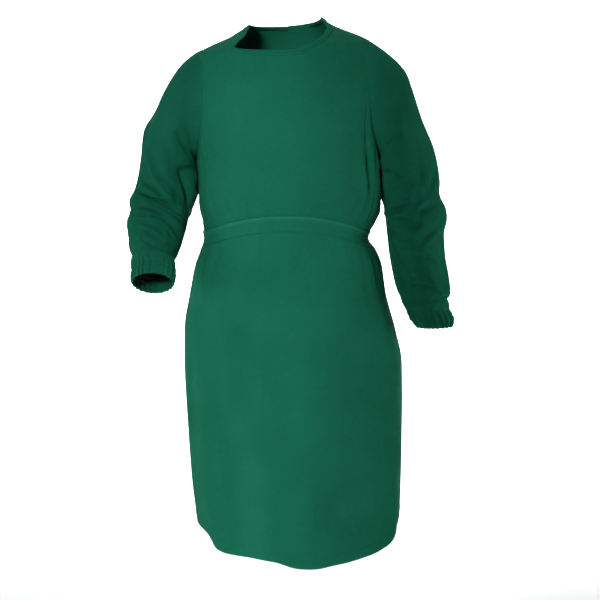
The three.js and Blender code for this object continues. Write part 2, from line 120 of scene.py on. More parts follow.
def plainBody(angle, level):
    turn = np.radians(angle)
    right, left, square = rightAt(level), leftAt(level), squareAt(level)
    facing = np.cos(turn)
    depth = np.where(facing > 0, frontAt(level), backAt(level))
    x = (left + right) / 2 + (left - right) / 2 * rounded(np.sin(turn), square)
    y = -depth * rounded(facing, square)
    fromBelt = level - form["waist"]
    reach = np.where(fromBelt > 0, form["riseUp"], form["riseDown"])
    lift = 1 - smooth(np.abs(fromBelt), form["beltWidth"] / 2, reach)
    rise = form["beltRise"] * np.maximum(facing, 0) ** 2 * lift
    drop = hemDropAt(angle) * (1 - smooth(level, form["hem"], form["hem"] + form["hemReach"]))
    tilt = form["tilt"] * x * smooth(level, form["tiltFrom"], 0)
    return np.stack([x, y, level + rise - drop + tilt], -1)


def normalOf(surface, angle, level, turn=0.4, rise=1):
    across = surface(angle + turn, level) - surface(angle - turn, level)
    up = surface(angle, level + rise) - surface(angle, level - rise)
    return unit(np.cross(across, up))


def foldHeight(angle, level):
    total = np.zeros(np.broadcast(angle, level).shape)
    for middle, width, depth, top, bottom, lean in form["folds"]:
        off = np.clip(np.abs(angle - middle - lean * (top - level) / 1000) / width, 0, 1)
        start = 1 - smooth(level, top - form["foldFade"], top)
        end = smooth(level, bottom, bottom + form["foldFade"])
        total += depth * (1 + np.cos(np.pi * off)) / 2 * start * end
    return total


def bodyForm(angle, level):
    height = foldHeight(angle, level)[..., None]
    return plainBody(angle, level) + normalOf(plainBody, angle, level) * height


# creases: soft troughs or ridges along bowed lines, given by where they start and end
stroke = dict(fadeIn=(-0.08, 0.34), fadeOut=(0.6, 1.08), widths=(0.75, 0.5), banks=(0.62, 1.35),
              lipAway=2.1, lipWide=0.9, lipHigh=0.35)


def strokes(u, v, rows, unitU, wrap=0.0):
    total = np.zeros_like(u)
    narrow, gain = stroke["widths"]
    for u0, v0, u1, v1, width, depth, bow in rows:
        du, dv = (u1 - u0) * unitU, v1 - v0
        length = math.hypot(du, dv)
        for turn in ((0, wrap, -wrap) if wrap else (0,)):
            pu, pv = (u + turn - u0) * unitU, v - v0
            s = (pu * du + pv * dv) / length ** 2
            off = (pu * dv - pv * du) / length - bow * 4 * s * (1 - s)
            ends = smooth(s, *stroke["fadeIn"]) * (1 - smooth(s, *stroke["fadeOut"]))
            bank = np.where(off > 0, *stroke["banks"])  # one bank is steeper
            w = width * (narrow + gain * np.clip(s, 0, 1)) * bank
            lips = np.exp(-((np.abs(off) - stroke["lipAway"] * w) / (stroke["lipWide"] * w)) ** 2)
            total += depth * ends * (1 / (1 + (off / w) ** 2) ** 1.5 - stroke["lipHigh"] * lips)
    return total


unevenness = dict(waves=14, sizes=(0.7, 1.7), level=3.7)


def softNoise(u, v, wave, seed):  # gentle unevenness, about one high
    draw = np.random.default_rng(seed)
    total = np.zeros_like(u)
    for _ in range(unevenness["waves"]):
        angle, size = draw.uniform(0, np.pi), wave * draw.uniform(*unevenness["sizes"])
        phase = draw.uniform(0, 2 * np.pi)
        total += np.sin((u * math.cos(angle) + v * math.sin(angle)) * 2 * np.pi / size + phase)
    return total / unevenness["level"]


# materials; noises are given as scale and detail
# the faded green is the colour of worn cloth and also a painted highlight along the belt's top edge
fabric = dict(light=(0.0095, 0.150, 0.085), deep=(0.0066, 0.118, 0.065),
              fadedAndHighlight=(0.015, 0.185, 0.110), ramp=(0.30, 0.68), cloudNoise=(7, 3), cloudShare=0.7,
              fleckNoise=(160, 2), fleckShare=0.3, wearAndHighlightNoise=(240, 3), roughNoise=(90, 2),
              roughness=(0.78, 0.94),
              threadPitch=0.00085, threadBend=0.6, bendScale=0.4, weaveShade=0.10,
              weaveHeight=0.00016, weaveStrength=0.55, fuzzNoise=(900, 2), fuzzShare=0.8,
              sheen=0.05, sheenRough=0.5, sheenTint=(0.12, 0.8, 0.5), specular=0.03)
waveScale = 0.31416  # of a wave texture with bands one apart


def clothMaterial(name, tone=1.0, grain=1.0):
    mat = bpy.data.materials.new(name)
    mat.use_nodes = True
    nodes, links = mat.node_tree.nodes, mat.node_tree.links
    shader = nodes["Principled BSDF"]
    coords = nodes.new("ShaderNodeTexCoord")

    def add(kind, sockets):  # a node with its sockets set or linked
        node = nodes.new("ShaderNode" + kind)
        for key, value in sockets.items():
            if isinstance(value, bpy.types.NodeSocket):
                links.new(value, node.inputs[key])
            else:
                node.inputs[key].default_value = value
        return node

    def noise(key):
        scale, detail = fabric[key]
        tex = add("TexNoise", {"Vector": coords.outputs["Object"], "Scale": scale, "Detail": detail})
        return tex.outputs["Fac"]

    def threads(direction):
        tex = add("TexWave", {"Vector": coords.outputs["UV"], "Detail": 1.0,
                              "Scale": waveScale / (fabric["threadPitch"] * grain),
                              "Distortion": fabric["threadBend"], "Detail Scale": fabric["bendScale"]})
        tex.wave_type, tex.bands_direction = "BANDS", direction
        return tex.outputs["Fac"]

    def maths(kind, a, b):
        node = add("Math", {0: a, 1: b})
        node.operation = kind
        return node.outputs[0]

    def ramp(factor, stops):
        node = add("ValToRGB", {"Fac": factor})
        for element, (place, colour) in zip(node.color_ramp.elements, stops):
            element.position = place
            element.color = (*colour, 1)
        return node.outputs["Color"]

    weave = maths("ADD", threads("X"), threads("Y"))
    clouds = maths("MULTIPLY", noise("cloudNoise"), fabric["cloudShare"])
    blotch = maths("ADD", clouds, maths("MULTIPLY", noise("fleckNoise"), fabric["fleckShare"]))
    shade = maths("MULTIPLY", maths("SUBTRACT", weave, 1.0), fabric["weaveShade"])
    colours = ([c * tone for c in fabric[key]] for key in ("deep", "light"))
    base = ramp(maths("ADD", blotch, shade), list(zip(fabric["ramp"], colours)))
    # the wear attribute turns the colour toward the faded green: wear along seams and edges, and a
    # painted highlight along the belt's top edge
    wearAndHighlight = nodes.new("ShaderNodeAttribute")
    wearAndHighlight.attribute_name = "wearAndHighlight"
    fade = maths("MULTIPLY", wearAndHighlight.outputs["Fac"], noise("wearAndHighlightNoise"))
    worn = add("Mix", {})
    worn.data_type = "RGBA"  # its colours come in at 6 and 7 and go out at 2
    worn.inputs[7].default_value = (*fabric["fadedAndHighlight"], 1)
    links.new(fade, worn.inputs[0])
    links.new(base, worn.inputs[6])
    links.new(worn.outputs[2], shader.inputs["Base Color"])

    low, high = fabric["roughness"]
    rough = maths("ADD", maths("MULTIPLY", noise("roughNoise"), high - low), low)
    links.new(rough, shader.inputs["Roughness"])
    fuzz = maths("MULTIPLY", noise("fuzzNoise"), fabric["fuzzShare"])
    bump = add("Bump", {"Height": maths("ADD", weave, fuzz), "Strength": fabric["weaveStrength"],
                        "Distance": fabric["weaveHeight"] * grain})
    links.new(bump.outputs["Normal"], shader.inputs["Normal"])
    shader.inputs["Sheen Weight"].default_value = fabric["sheen"]
    shader.inputs["Sheen Roughness"].default_value = fabric["sheenRough"]
    shader.inputs["Sheen Tint"].default_value = (*fabric["sheenTint"], 1)
    shader.inputs["Specular IOR Level"].default_value = fabric["specular"]
    return mat


clothMat = clothMaterial("cotton")
tapeMat = clothMaterial("biasTape", tone=0.9, grain=0.85)
beltMat = clothMaterial("beltCotton", tone=1.02)
threadMat = clothMaterial("sewingThread", tone=1.25, grain=0.5)
print("materials made")


def gridQuads(rows, cols, tube):
    r, c = np.meshgrid(np.arange(rows - 1), np.arange(cols if tube else cols - 1), indexing="ij")
    here, right = r * cols + c, r * cols + (c + 1) % cols
    return np.stack([here, right, right + cols, here + cols], -1).reshape(-1, 4)


def addMesh(name, verts, faces):
    mesh = bpy.data.meshes.new(name)
    mesh.from_pydata(verts.tolist(), [], faces.tolist())
    mesh.polygons.foreach_set("use_smooth", [True] * len(mesh.polygons))
    obj = bpy.data.objects.new(name, mesh)
    bpy.context.scene.collection.objects.link(obj)
    return obj


# a grid of points in mm becomes a sheet; tubes close on themselves
def makeSheet(name, points, uv, wearAndHighlight, material, node, outward, tube=False, thick=0.9,
              foldRows=(), foldCols=()):
    rows, cols = points.shape[:2]
    verts, quads = points.reshape(-1, 3) * mm, gridQuads(rows, cols, tube)
    a, b, _, d = quads[len(quads) // 2 + cols // 4]
    if np.cross(verts[b] - verts[a], verts[d] - verts[a]) @ outward.reshape(-1, 3)[a] < 0:
        quads = quads[:, ::-1]
    obj = addMesh(name, verts, quads)
    mesh = obj.data
    corner = (uv.reshape(-1, 2) * mm)[quads.reshape(-1)]
    if tube:  # the seam's last quads run on past the full round
        wide = float(uv[:, :, 0].max() - uv[:, :, 0].min()) * (cols / (cols - 1)) * mm
        u = corner[:, 0].reshape(-1, 4)
        over = (u.max(1) - u.min(1)) > wide / 2
        u[over] = np.where(u[over] < u[over].mean(1, keepdims=True), u[over] + wide, u[over])
        corner[:, 0] = u.reshape(-1)
    mesh.uv_layers.new(name="UVMap").data.foreach_set("uv", corner.astype(np.float32).ravel())
    # share of faded green at each point: wear, and along the belt's top edge a painted highlight
    worn = mesh.attributes.new("wearAndHighlight", "FLOAT", "POINT")
    wearAndHighlight = np.broadcast_to(wearAndHighlight, (rows, cols))
    worn.data.foreach_set("value", wearAndHighlight.astype(np.float32).ravel())
    if foldRows or foldCols:  # crisp where cloth turns in at a seam
        ends = np.empty(len(mesh.edges) * 2, dtype=np.int32)
        mesh.edges.foreach_get("vertices", ends)
        a, b = ends.reshape(-1, 2).T
        crisp = np.isin(a // cols, foldRows) & (a // cols == b // cols)
        crisp |= np.isin(a % cols, foldCols) & (a % cols == b % cols)
        mesh.attributes.new("sharp_edge", "BOOLEAN", "EDGE").data.foreach_set("value", crisp)
    mesh.materials.append(material)
    solid = obj.modifiers.new("thickness", "SOLIDIFY")
    solid.thickness, solid.offset, solid.use_even_offset = thick * mm, -1, False
    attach(obj, "root")
    if node:
        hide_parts(node)
    return obj


def steps(points, axis):  # running length along a grid's rows or columns
    gaps = np.linalg.norm(np.diff(points, axis=axis), axis=-1)
    pad = [(0, 0), (0, 0)]
    pad[axis] = (1, 0)
    return np.pad(np.cumsum(gaps, axis=axis), pad)


def longest(points, axis):
    return float(steps(points, axis).max())


def closed(points):
    return np.concatenate([points, points[:, :1]], 1)


def gridUv(points):
    return np.stack([steps(points, 1), steps(points, 0)], -1)


def sheetArea(points):
    a, b, c, d = points[:-1, :-1], points[:-1, 1:], points[1:, 1:], points[1:, :-1]
    first, second = (np.linalg.norm(np.cross(b - e, d - e), axis=-1) for e in (a, c))
    return float((first + second).sum() / 2)


def stateCut(obj, cut, area):
    print(obj.name, "cut", [round(x) for x in cut], "mm, area", round(area / 1e6, 4), "m2")


# stitches: short raised threads along a line of points
sewing = dict(pitch=3.3, long=2.5, wide=0.6, probe=0.6,
              # height, half length and half width of the foot and the crown
              levels=((-0.1, 0.5, 0.5), (0.4, 0.3, 0.32)))


def stitchLine(points, normals):
    length = join([0], np.cumsum(np.linalg.norm(np.diff(points, axis=0), axis=1)))
    at = np.arange(sewing["pitch"], length[-1] - sewing["pitch"], sewing["pitch"])

    def along(values, x):
        return np.stack([np.interp(x, length, values[:, k]) for k in range(3)], -1)
    centre, normal = along(points, at), unit(along(normals, at))
    tangent = unit(along(points, at + sewing["probe"]) - along(points, at - sewing["probe"]))
    side = np.cross(normal, tangent)
    corners = []
    for height, stretch, spread in sewing["levels"]:
        for a, b in ((-1, -1), (1, -1), (1, 1), (-1, 1)):
            end = centre + tangent * a * stretch * sewing["long"]
            corners.append(end + side * b * spread * sewing["wide"] + normal * height)
    block = np.array([[4, 5, 6, 7], [0, 1, 5, 4], [1, 2, 6, 5], [2, 3, 7, 6], [3, 0, 4, 7]])
    faces = (block[None] + 8 * np.arange(len(at))[:, None, None]).reshape(-1, 4)
    return np.stack(corners, 1).reshape(-1, 3), faces


def makeStitches(name, lines):
    verts, faces, count = [], [], 0
    for points, normals in lines:
        v, f = stitchLine(points, normals)
        verts.append(v)
        faces.append(f + count)
        count += len(v)
    obj = addMesh(name, np.concatenate(verts) * mm, np.concatenate(faces))
    obj.data.materials.append(threadMat)
    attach(obj, "root")
    return obj


# rows of a body panel, from the hem to the neck
panelMesh = dict(below=150, armhole=60, shoulder=14, half=62, nearHem=(0, 2, 6, 12, 18, 21, 23, 26),
                 aboveHem=31, nearSeam=(0.004, 0.010))


def panelRows():
    low, top = form["hem"], form["armpit"]
    plain = np.linspace(low + panelMesh["aboveHem"], top, panelMesh["below"])
    level = np.unique(join(low + np.array(panelMesh["nearHem"], float), plain))
    t = np.linspace(0, 1, panelMesh["armhole"] + 1)[1:]
    shoulder = np.linspace(form["shoulderClimb"], 1, panelMesh["shoulder"] + 1)[1:]
    climb = join(np.zeros(len(level)),
            form["shoulderClimb"] * (1 - np.cos(np.pi * t)) / 2, shoulder)
    bite = join(np.zeros(len(level)), np.sin(np.pi * t), np.zeros(len(shoulder)))
    bite[np.abs(bite) < 1e-9] = 0
    level = join(level, np.full(len(climb) - len(level), float(top)))
    return level, climb, bite


rowLevel, rowClimb, rowBite = panelRows()


def levelAt(level, climb, angle):
    return np.where(climb > 0, form["armpit"] + (neckEdgeAt(angle) - form["armpit"]) * climb, level)


def sideAngle(face, side, level, climb, bite):
    seam = 90 * side if face == "front" or side > 0 else 270
    z = levelAt(level, climb, np.full_like(climb, seam))
    depth = frontAt(z) if face == "front" else backAt(z)
    share = np.clip(form["armhole"][face] * bite / depth, 0, 1)
    return np.degrees(np.arccos(share ** (squareAt(z) / 2)))


def places(face, across, level, climb, bite):
    left, right = (sideAngle(face, side, level, climb, bite)[:, None] for side in (1, -1))
    reach = across[None] * np.where(across[None] >= 0, left, right)
    angle = reach if face == "front" else 180 - reach
    return angle, levelAt(level[:, None], climb[:, None], angle)


def lapLift(across):
    return form["lapLift"] * (1 - smooth(across, form["lap"], form["lapFade"]))


def edgeSpaced(low, high, seamLow, seamHigh):  # closer columns beside a seam
    near = np.array(panelMesh["nearSeam"])
    across = [np.linspace(low, high, int(round((high - low) * panelMesh["half"])) + 1)]
    across += [low + near] * seamLow + [high - near] * seamHigh
    return np.unique(np.round(np.concatenate(across), 5))


# creases of the body: angle and height of both ends, width, depth (troughs negative), bow
bodyCreases = dict(
    front=[(61, -120, 58, -430, 8, -4.5, 4), (76, -130, 74, -400, 9, 3.6, 2),
           (-57, -178, -44, -154, 6, -2.2, -4), (-58, -200, -55, -300, 9, -2.4, 3),
           (-66, -236, -44, -322, 9, -3.2, 6), (-70, -262, -52, -352, 8, -2.6, 5),
           (-62, -206, -36, -262, 11, -2.2, 8), (66, -230, 50, -330, 9, -3.0, -6),
           (74, -250, 64, -345, 8, -2.6, -4), (60, -190, 34, -240, 12, -1.8, -8),
           (58, -300, 52, -452, 10, -4.0, 6), (66, -330, 62, -450, 7, -3.0, 3),
           (44, -360, 41, -448, 9, -2.4, 0), (30, -380, 27, -446, 8, -1.8, 0),
           (16, -392, 15, -444, 9, -1.4, 0), (-8, -388, -7, -446, 9, -1.5, 0),
           (-22, -380, -21, -447, 8, -1.8, 0), (-38, -366, -35, -448, 9, -2.4, -3),
           (-52, -350, -47, -450, 8, -3.0, -4), (-66, -340, -60, -450, 8, -3.2, -3),
           (-78, -350, -74, -452, 7, -2.6, 0), (78, -340, 76, -452, 7, -3.2, 2),
           (-74, -480, -79, -580, 8, -3.4, 0), (-62, -480, -66, -610, 9, -2.8, 2),
           (-48, -480, -50, -560, 8, -2.2, 0), (-33, -480, -34, -640, 10, -2.0, 3),
           (-14, -480, -13, -545, 8, -1.6, 0), (4, -480, 5, -570, 9, -1.5, 0),
           (22, -480, 24, -600, 9, -2.0, -3), (38, -480, 40, -560, 8, -2.2, 0),
           (50, -480, 53, -640, 10, -2.8, 3), (62, -480, 66, -590, 8, -3.2, 0),
           (75, -480, 80, -620, 8, -3.4, 2), (-64, -700, -70, -1080, 17, -4.0, 10),
           (-38, -760, -34, -1130, 20, -3.0, -12), (24, -720, 20, -1150, 22, -2.6, 14),
           (48, -680, 52, -1120, 19, -3.4, -10), (80, -720, 82, -1060, 16, -3.4, 6),
           (-84, -640, -86, -1040, 14, -3.0, 4)],
    back=[(112, -480, 108, -640, 9, -3.6, 0), (128, -480, 127, -600, 8, -3.0, 0),
          (150, -480, 151, -660, 10, -3.2, 3), (171, -480, 172, -580, 8, -2.4, 0),
          (192, -480, 191, -620, 9, -2.8, 0), (212, -480, 214, -590, 8, -3.0, 0),
          (236, -480, 239, -650, 10, -3.6, -3), (256, -480, 260, -600, 8, -3.2, 0),
          (104, -480, 99, -590, 7, -2.8, 0), (110, -330, 112, -448, 8, -3.2, 0),
          (126, -310, 129, -446, 9, -3.6, 4), (156, -350, 157, -446, 9, -2.6, 0),
          (200, -340, 199, -446, 9, -2.6, 0), (232, -310, 229, -446, 9, -3.6, -4),
          (250, -330, 247, -448, 8, -3.2, 0), (114, -190, 138, -300, 11, -3.0, 10),
          (246, -190, 222, -300, 11, -3.0, -10), (118, -130, 150, -200, 13, -2.4, 10),
          (242, -130, 210, -200, 13, -2.4, -10), (132, -700, 128, -1090, 18, -3.4, 8),
          (176, -720, 178, -1080, 20, -2.8, -10), (228, -700, 232, -1090, 18, -3.6, 8),
          (262, -680, 264, -1060, 15, -3.2, 0)],
    perDegree=3.2, calmSeam=(1, 30), evenness=0.55, evenWave=85, evenSquash=0.6, evenFrom=(60, 140),
    # the cloth swells over the belt's edges: height, and distance and width above and below
    swell=0.9, swellAbove=(12, 9), swellBelow=(3, 5),
    # the arms press the sides in: depth, angles, and depths below the neck where it starts and ends
    press=dict(right=5.0, left=1.5, angles=(6, 34), start=(288, 330), end=(370, 420),
               calm=0.8, firm=0.5),
)


def armPress(angle, level):
    press = bodyCreases["press"]
    total = np.zeros(np.broadcast(angle, level).shape)
    for middle, depth in ((90, press["left"]), (270, press["right"]), (-90, press["right"])):
        near = 1 - smooth(np.abs(angle - middle), *press["angles"])
        total += depth * near * smooth(-level, *press["start"]) * (1 - smooth(-level, *press["end"]))
    return total


def bell(x, middle, wide):
    return np.exp(-((x - middle) / wide) ** 2)


def bodyCloth(angle, level, face, lift, seed, fromSeam):
    point, normal = bodyForm(angle, level), normalOf(bodyForm, angle, level)
    flatU = angle * bodyCreases["perDegree"]
    height = strokes(angle, level, bodyCreases[face], bodyCreases["perDegree"])
    uneven = softNoise(flatU, level * bodyCreases["evenSquash"], bodyCreases["evenWave"], seed)
    height += bodyCreases["evenness"] * uneven * smooth(-level, *bodyCreases["evenFrom"])
    height *= smooth(fromSeam, *bodyCreases["calmSeam"])  # two pieces meet at one height
    over = level - form["waist"] - form["beltWidth"] / 2
    under = form["waist"] - form["beltWidth"] / 2 - level
    height += bodyCreases["swell"] * bell(over, *bodyCreases["swellAbove"])
    height += bodyCreases["swell"] * bell(under, *bodyCreases["swellBelow"])
    press = armPress(angle, level)
    calm = 1 - bodyCreases["press"]["calm"] * (press > bodyCreases["press"]["firm"])
    return point + normal * (height * calm + lift - press)[..., None], normal


def widen(grid, count, atEnd):  # the first or last column again
    more = np.repeat(grid[:, -1:] if atEnd else grid[:, :1], count, 1)
    return np.concatenate([grid, more] if atEnd else [more, grid], 1)


def turnIn(points, ways, depths, atEnd):  # extra columns that turn in at a seam
    edge = points[:, -1 if atEnd else 0]
    extra = np.stack([edge - ways * depth for depth in depths], 1)
    return np.concatenate([points, extra] if atEnd else [extra[:, ::-1], points], 1)


def seamWay(column, points, normals):  # which way a panel's wall stands along its side edge
    edge, way = points[:, column], normals[:, column].copy()
    rows = np.flatnonzero((rowClimb > 0) & (rowClimb <= form["shoulderClimb"] + 1e-6))
    rows = join([rows[0] - 1], rows)
    radial = edge[rows] - (edge[rows[0]] + edge[rows[-1]]) / 2
    radial[:, 0] = 0
    way[rows] = unit(radial)
    return way


# groove along a seam and its reach, wall that turns in there and how it runs on under the other's,
# hem: height of the fold, of its inner edge's row and of the stitches
seams = dict(groove=0.45, reach=4.0, allowance=(0.9, 5.0), underlap=(6.2, 4.0), openEdge=(1.2,),
             hemFold=22, hemProud=0.5, hemWall=1.4, hemEase=0.3, hemRow=5, hemStitch=19,
             worn=0.8, wornSeam=7, wornEdge=6, uvMiddle=500)


def wornEdges(fromSeam, fromEdge):
    worn = np.exp(-fromSeam / seams["wornSeam"]) + np.exp(-np.abs(fromEdge) / seams["wornEdge"])
    return np.clip(worn, 0, 1) * seams["worn"]


def makePanel(name, node, face, low, high, seamLow, seamHigh, lift, seed):
    across = edgeSpaced(low, high, seamLow, seamHigh)
    angle, level = places(face, across, rowLevel, rowClimb, rowBite)
    lifted = np.broadcast_to(lift(across)[None], angle.shape)
    run = steps(bodyForm(angle, level), 1)
    away = np.full(angle.shape, 1e3)  # from the nearest seam
    if seamLow:
        away = np.minimum(away, run)
    if seamHigh:
        away = np.minimum(away, run[:, -1:] - run)
    points, normals = bodyCloth(angle, level, face, lifted, seed, away)
    acrossMm = steps(points, 1)
    # seams sink, at the armhole only the sleeve's side; the hem stands a little proud
    sewnOn = (rowClimb > 0) & (rowClimb < form["shoulderClimb"])
    sink = seams["groove"] * bell(away, 0, seams["reach"]) * ~sewnOn[:, None]
    fromHem, fold = rowLevel[:, None] - form["hem"], seams["hemFold"]
    proud = seams["hemProud"] * (1 - smooth(fromHem, fold - 1, fold + 1)) * (rowClimb[:, None] == 0)
    points = points + normals * (proud - sink)[..., None]
    wearAndHighlight, upMm = wornEdges(away, fromHem), steps(points, 0)
    centre = acrossMm[:, across.searchsorted((low + high) / 2)][:, None]
    uv = np.stack([acrossMm - centre + seams["uvMiddle"], upMm], -1)
    area, cut = sheetArea(points), (float(acrossMm.max()), float(upMm.max()))
    row = rowLevel.searchsorted(form["hem"] + seams["hemStitch"])
    hemLine = (points[row], normals[row])

    for atEnd, sewn in ((False, seamLow), (True, seamHigh)):
        column = -1 if atEnd else 0
        way = seamWay(column, points, normals) if sewn else normals[:, column]
        depths = seams["allowance"] if sewn else seams["openEdge"]
        points = turnIn(points, way, depths, atEnd)
        normals, uv, wearAndHighlight = (widen(grid, len(depths), atEnd) for grid in (normals, uv, wearAndHighlight))
    # the hem is turned up inside
    k, wall = seams["hemRow"], seams["hemWall"]
    inside = points[:1] - normals[:1] * wall
    back = points[k:k + 1] - normals[k:k + 1] * (wall + seams["hemEase"])
    points, uv = join(back, inside, points), join(uv[k:k + 1], uv[:1], uv)
    normals, wearAndHighlight = (join(grid[:1], grid[:1], grid) for grid in (normals, wearAndHighlight))
    first = len(seams["allowance"] if seamLow else seams["openEdge"])
    obj = makeSheet(name, points, uv, wearAndHighlight, clothMat, node, normals,
                    foldCols=(first, first + len(across) - 1))
    stitches = makeStitches(name + "HemStitch", [hemLine])
    stateCut(obj, cut, area)


noLift = np.zeros_like
# node, face, from and to as shares of the half round, seam at either end, lift, seed
panelCuts = dict(
    gownFront=("front_panel", "front", -1, 1, True, True, noLift, 3),
    gownBackLeft=("back_panel_left", "back", 0, 1, False, True, lapLift, 5),
    gownBackRight=("back_panel_right", "back", -1, form["lap"], True, False, noLift, 8),
)
for name, cutting in panelCuts.items():
    makePanel(name, *cutting)

# sleeves: rings of points, turn 0 on the inner side, then front, outer side and back
# rows: outer x and z, inner x and z, middle y, half depth
# creases: turn and ring of both ends, width, depth, bow
sleeveSets = dict(
    Right=dict(
        side=-1, seed=31,
        rows=[(-199, -70, -194, -292, 2, 68), (-219, -87, -195, -300, 3, 71),
              (-237, -109, -196, -309, 5, 73), (-253, -134, -197, -319, 6, 74),
              (-268, -162, -197.5, -330, 7, 74), (-285, -193, -198, -342, 8, 73),
              (-304, -222, -198.5, -354, 9, 72), (-313, -256, -199, -366, 9, 71),
              (-320, -292, -200, -379, 8, 70), (-327, -328, -202, -392, 5, 69),
              (-336, -357, -205, -404, 1, 69), (-346, -377, -207, -415, -6, 70),
              (-342, -398, -208, -427, -16, 66), (-346, -419, -212, -441, -30, 66),
              (-339, -441, -219, -459, -48, 60), (-335, -464, -228, -477, -68, 56),
              (-328, -488, -234, -495, -89, 49), (-327, -507, -232, -511, -105, 45)],
        cuff=[(-324, -517, -231, -521, -113, 44), (-326, -529, -231, -531, -122, 44),
              (-321, -540, -235, -541, -131, 42)],
        creases=[(158, 10.6, 22, 13.4, 8, -4.6, 7), (168, 9.6, 96, 10.4, 6, -2.6, 3),
                 (176, 13.0, 60, 14.3, 7, -3.4, -5), (140, 12.0, 30, 14.0, 5, -2.4, 3),
                 (62, 6.2, 24, 11.2, 8, -3.2, 5), (150, 8.0, 40, 11.6, 9, 2.4, 6),
                 (100, 14.2, 10, 15.4, 6, -2.4, 3), (150, 14.8, 60, 16.0, 6, -2.0, -3),
                 (30, 1.0, 92, 4.6, 11, -2.4, 8), (64, 0.6, 128, 3.4, 12, -1.8, 9),
                 (20, 3.4, 70, 7.6, 9, -2.2, 6), (120, 16.6, 60, 17.4, 5, -1.6, 2),
                 (200, 10.8, 268, 12.0, 8, -3.4, 5), (206, 12.6, 300, 13.8, 7, -3.0, -4),
                 (330, 1.6, 262, 5.2, 11, -2.6, 8), (344, 4.2, 288, 8.8, 9, -2.4, 6),
                 (214, 8.4, 320, 11.0, 9, -2.6, 6), (250, 14.4, 330, 15.8, 6, -2.2, 3),
                 (300, 9.6, 352, 12.4, 7, -3.0, 4), (240, 6.4, 312, 8.0, 10, 1.8, 4),
                 (180, 5.0, 140, 8.6, 12, -1.6, 6)]),
    Left=dict(
        side=1, seed=47,
        rows=[(213, -62, 201, -292, 2, 68), (236, -81, 203, -300, 3, 71), (256, -104, 205, -309, 5, 73),
              (268, -132, 207, -319, 6, 74), (279, -162, 208.5, -330, 7, 74),
              (291, -194, 210, -342, 8, 73), (306, -226, 211, -354, 9, 72),
              (323, -261, 212, -367, 9, 71), (336, -299, 212.5, -381, 8, 70),
              (342, -335, 213, -395, 5, 69), (341, -366, 214, -409, 1, 69),
              (355, -393, 216, -422, -3, 71), (357, -416, 218.5, -436, -7, 67),
              (350, -441, 222, -454, -11, 68), (352, -468, 226, -476, -15, 65),
              (354, -501, 230, -506, -19, 64), (359, -536, 236, -540, -23, 62),
              (360, -572, 246, -575, -27, 57), (356, -599, 254, -602, -30, 50),
              (357, -614, 262, -616, -32, 46)],
        cuff=[(364, -626, 267, -629, -33, 45), (367, -639, 275, -642, -35, 43),
              (362, -652, 287, -654, -36, 37)],
        creases=[(24, 10.6, 92, 10.8, 6, -4.2, -5), (88, 12.0, 142, 11.6, 6, -3.2, 3),
                 (30, 12.4, 104, 13.3, 7, -3.4, 5), (48, 14.6, 86, 14.7, 5, -2.8, 0),
                 (70, 15.5, 132, 16.2, 6, -2.4, 3), (16, 13.6, 60, 14.2, 6, -2.8, 2),
                 (150, 13.4, 92, 14.8, 7, -2.4, -4), (28, 1.2, 92, 4.8, 11, -2.6, 8),
                 (60, 0.6, 132, 3.6, 12, -1.8, 9), (22, 4.0, 72, 8.6, 9, -2.4, 7),
                 (36, 7.4, 110, 10.0, 9, -2.2, 6), (160, 9.2, 118, 11.0, 8, -2.6, -4),
                 (40, 17.2, 118, 17.8, 6, -2.0, 3), (84, 18.8, 150, 19.2, 5, -1.8, 2),
                 (20, 16.0, 70, 17.0, 7, -2.0, 3), (330, 1.6, 262, 5.2, 11, -2.6, 8),
                 (344, 4.2, 288, 8.8, 9, -2.4, 6), (206, 11.2, 290, 12.2, 8, -3.4, 5),
                 (214, 13.0, 316, 13.8, 7, -3.0, -4), (300, 10.2, 352, 12.0, 7, -3.0, 4),
                 (240, 15.2, 322, 16.4, 7, -2.4, 4), (196, 17.0, 270, 18.0, 6, -2.0, 3),
                 (250, 7.0, 318, 9.0, 10, 1.8, 4)]),
)
sleeveMesh = dict(
    turns=96, step=4.4, nearSeam=(0, 1.2, 3.0, 5.5), firstRing=8, seamGap=0.15, touchGap=0.7,
    perDegree=1.2, creaseDepth=3.0, creaseFrom=(8, 85), creaseStop=14, evenness=0.6, evenWave=48,
    evenRound=75, pleats=14, pleatReach=26, pleatHeight=0.9, cuffGroove=0.5, cuffReach=3,
    # where the inner side lies against the body: turns, and the rings where it starts and ends
    against=(14, 62), againstFrom=(0.6, 3.0), againstTo=(7.2, 10.4), clearBelow=(-30, -8),
    # depth and distance of the rows tucked into the cuff
    tucked=((1.9, 0.2), (3.0, 4.0), (3.2, 9.0)),
)


def ringFrames(rows):
    outerX, outerZ, innerX, innerZ, y, half = np.array(rows, float).T
    middle = np.stack([(outerX + innerX) / 2, y, (outerZ + innerZ) / 2], -1)
    outward = np.stack([outerX - innerX, 0 * y, outerZ - innerZ], -1)
    along = unit(np.vstack([middle[1:], middle[-1:]]) - np.vstack([middle[:1], middle[:-1]]))
    backward = unit(np.cross(along, outward))
    backward[backward[:, 1] < 0] *= -1
    return middle, outward / 2, backward, half


def ringPoints(frames, turn):
    middle, outward, backward, half = frames
    return (middle[:, None] - outward[:, None] * np.cos(turn)[None, :, None]
            - (backward * half[:, None])[:, None] * np.sin(turn)[None, :, None])


def ringKnots(rings):  # running mean distance from ring to ring
    return join([0], np.cumsum(np.linalg.norm(np.diff(rings, axis=0), axis=-1).mean(1)))


def armholeRing(side, turn):
    t = np.where(turn <= np.pi, turn, 2 * np.pi - turn) / np.pi
    climb, bite = form["shoulderClimb"] * (1 - np.cos(np.pi * t)) / 2, np.sin(np.pi * t)
    level = np.full_like(t, form["armpit"])
    found = []
    for face in ("front", "back"):
        reach = side * sideAngle(face, side, level, climb, bite)
        angle = reach if face == "front" else 180 - reach
        found.append(bodyForm(angle, levelAt(level, climb, angle)))
    ring = np.where((turn <= np.pi)[:, None], found[0], found[1])
    ring[:, 0] += side * sleeveMesh["seamGap"]
    return ring


